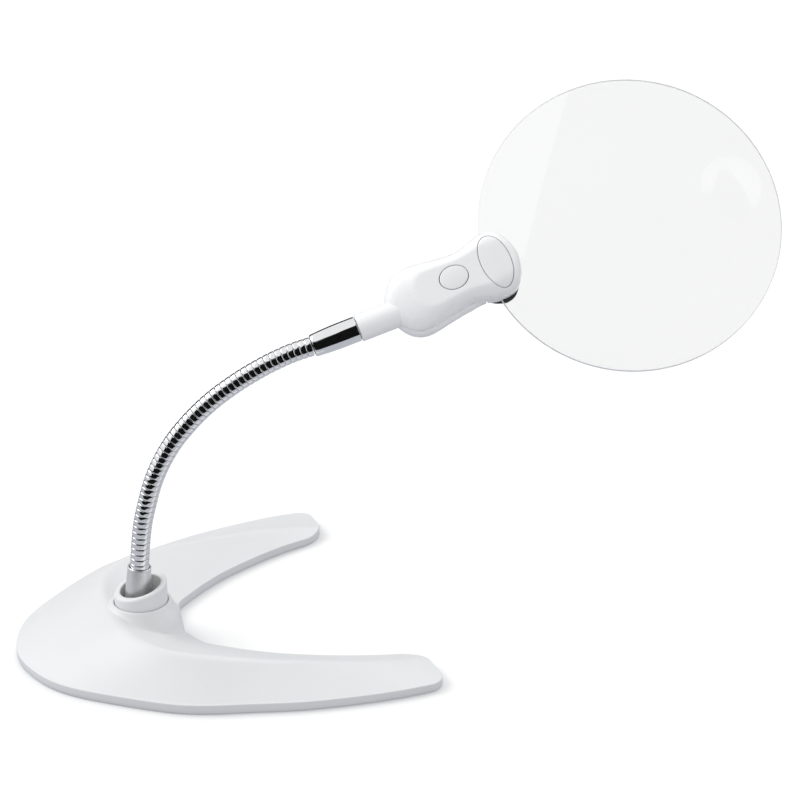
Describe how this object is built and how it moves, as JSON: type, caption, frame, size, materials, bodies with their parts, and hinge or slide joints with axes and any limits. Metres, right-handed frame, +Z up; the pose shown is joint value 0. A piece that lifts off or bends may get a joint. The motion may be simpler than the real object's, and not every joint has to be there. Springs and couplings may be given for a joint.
{
  "type": "magnifying lamp",
  "caption": "Desk magnifying lamp: round rimless lens with a small strong lens, lighted head with a push button, flexible metal neck and a weighted horseshoe base.",
  "frame": {"origin": "on the table, at the underside of the middle foot, under the neck socket", "axes": "+Z up, +X along the middle of the base towards the open side of the horseshoe, +Y to the left leg seen from behind"},
  "size_m": [0.3309, 0.177, 0.2285],
  "materials": {
    "white_shell": "fine satin gloss moulded plastic",
    "white_inlay": "smooth matt",
    "grey_plastic": "matt",
    "black_plastic": "matt",
    "rubber": "matt",
    "steel_plain": "plain rolled",
    "screw_steel": "zinc plated",
    "cell_steel": "satin",
    "contact_metal": "nickel plated",
    "satin_metal": "satin nickel",
    "chrome": "polished chrome",
    "board": "solder mask",
    "led_lens": "clear",
    "lens_acrylic": "polished clear acrylic"
  },
  "bodies": {
    "base": {"base_cover": "white_shell", "base_bottom_plate": "grey_plastic", "base_weight": "steel_plain", "base_feet": "rubber", "base_screws": "screw_steel", "battery_tray": "grey_plastic", "battery_cells": "cell_steel", "battery_contacts": "contact_metal", "battery_door": "grey_plastic", "battery_door_screw": "screw_steel", "collar": "white_shell", "collar_screws": "screw_steel"},
    "neck_foot": {"lower_ferrule": "satin_metal", "swivel_washer": "contact_metal", "swivel_nut": "contact_metal", "neck_link_01": "chrome"},
    "neck_02": {"neck_link_02": "chrome"},
    "neck_03": {"neck_link_03": "chrome"},
    "neck_04": {"neck_link_04": "chrome"},
    "neck_05": {"neck_link_05": "chrome"},
    "neck_06": {"neck_link_06": "chrome"},
    "neck_07": {"neck_link_07": "chrome"},
    "neck_08": {"neck_link_08": "chrome"},
    "neck_09": {"neck_link_09": "chrome"},
    "neck_10": {"neck_link_10": "chrome"},
    "neck_11": {"neck_link_11": "chrome"},
    "neck_12": {"neck_link_12": "chrome"},
    "neck_tip": {"neck_link_13": "chrome", "upper_ferrule": "chrome"},
    "head": {"head_stem": "white_shell", "head_upper_shell": "white_shell", "head_lower_shell": "white_shell", "led_housing": "black_plastic", "head_screws": "screw_steel", "leds": "led_lens", "led_windows": "led_lens", "circuit_board": "board", "tactile_switch": "black_plastic", "head_cover_plate": "white_inlay", "main_lens": "lens_acrylic"},
    "button": {"power_button": "white_inlay"}
  },
  "joints": [
    {"name": "neck_swivel", "type": "hinge", "parent": "base", "child": "neck_foot", "pos_m": [0.00013, -0.00002, 0.036], "axis": [0.0982, -0.0147, 0.9951], "range_deg": [-120, 120]},
    {"name": "neck_bend_1", "type": "hinge", "parent": "neck_foot", "child": "neck_02", "pos_m": [0.00105, -0.0002, 0.04555], "axis": [0.1478, 0.989, 0], "range_deg": [-9, 3]},
    {"name": "neck_sway_1", "type": "hinge", "parent": "neck_02", "child": "neck_03", "pos_m": [0.00238, -0.00053, 0.05573], "axis": [-0.9731, 0.1454, 0.1787], "range_deg": [-8, 8]},
    {"name": "neck_bend_2", "type": "hinge", "parent": "neck_03", "child": "neck_04", "pos_m": [0.0047, -0.0011, 0.06573], "axis": [0.1478, 0.989, 0], "range_deg": [-9, 3]},
    {"name": "neck_sway_2", "type": "hinge", "parent": "neck_04", "child": "neck_05", "pos_m": [0.00758, -0.00182, 0.07557], "axis": [-0.9302, 0.139, 0.3398], "range_deg": [-8, 8]},
    {"name": "neck_bend_3", "type": "hinge", "parent": "neck_05", "child": "neck_06", "pos_m": [0.01167, -0.00279, 0.08494], "axis": [0.1478, 0.989, 0], "range_deg": [-9, 3]},
    {"name": "neck_sway_3", "type": "hinge", "parent": "neck_06", "child": "neck_07", "pos_m": [0.01691, -0.00397, 0.09369], "axis": [-0.8013, 0.1197, 0.5862], "range_deg": [-8, 8]},
    {"name": "neck_bend_4", "type": "hinge", "parent": "neck_07", "child": "neck_08", "pos_m": [0.02337, -0.00536, 0.10156], "axis": [0.1478, 0.989, 0], "range_deg": [-9, 3]},
    {"name": "neck_sway_4", "type": "hinge", "parent": "neck_08", "child": "neck_09", "pos_m": [0.03057, -0.00687, 0.10874], "axis": [-0.65, 0.0971, 0.7537], "range_deg": [-8, 8]},
    {"name": "neck_bend_5", "type": "hinge", "parent": "neck_09", "child": "neck_10", "pos_m": [0.03854, -0.00847, 0.11501], "axis": [0.1478, 0.989, 0], "range_deg": [-9, 3]},
    {"name": "neck_sway_5", "type": "hinge", "parent": "neck_10", "child": "neck_11", "pos_m": [0.04706, -0.01011, 0.12053], "axis": [-0.49, 0.0732, 0.8686], "range_deg": [-8, 8]},
    {"name": "neck_bend_6", "type": "hinge", "parent": "neck_11", "child": "neck_12", "pos_m": [0.05601, -0.01173, 0.1253], "axis": [0.1478, 0.989, 0], "range_deg": [-9, 3]},
    {"name": "neck_sway_6", "type": "hinge", "parent": "neck_12", "child": "neck_tip", "pos_m": [0.06538, -0.01331, 0.12922], "axis": [-0.3384, 0.0506, 0.9396], "range_deg": [-8, 8]},
    {"name": "head_roll", "type": "hinge", "parent": "neck_tip", "child": "head", "pos_m": [0.09976, -0.0185, 0.13991], "axis": [0.9429, -0.1409, 0.3019], "range_deg": [-90, 90]},
    {"name": "button_press", "type": "slide", "parent": "head", "child": "button", "axis": [0.2974, 0.7647, -0.5717], "range_m": [0, 0.0006], "stiffness_N_per_m": 1500, "springref_m": -0.0003}
  ],
  "couplings": [
    {"joint": "neck_bend_2", "follows": "neck_bend_1", "ratio": 1},
    {"joint": "neck_sway_2", "follows": "neck_sway_1", "ratio": 1},
    {"joint": "neck_bend_3", "follows": "neck_bend_1", "ratio": 1},
    {"joint": "neck_sway_3", "follows": "neck_sway_1", "ratio": 1},
    {"joint": "neck_bend_4", "follows": "neck_bend_1", "ratio": 1},
    {"joint": "neck_sway_4", "follows": "neck_sway_1", "ratio": 1},
    {"joint": "neck_bend_5", "follows": "neck_bend_1", "ratio": 1},
    {"joint": "neck_sway_5", "follows": "neck_sway_1", "ratio": 1},
    {"joint": "neck_bend_6", "follows": "neck_bend_1", "ratio": 1},
    {"joint": "neck_sway_6", "follows": "neck_sway_1", "ratio": 1}
  ]
}
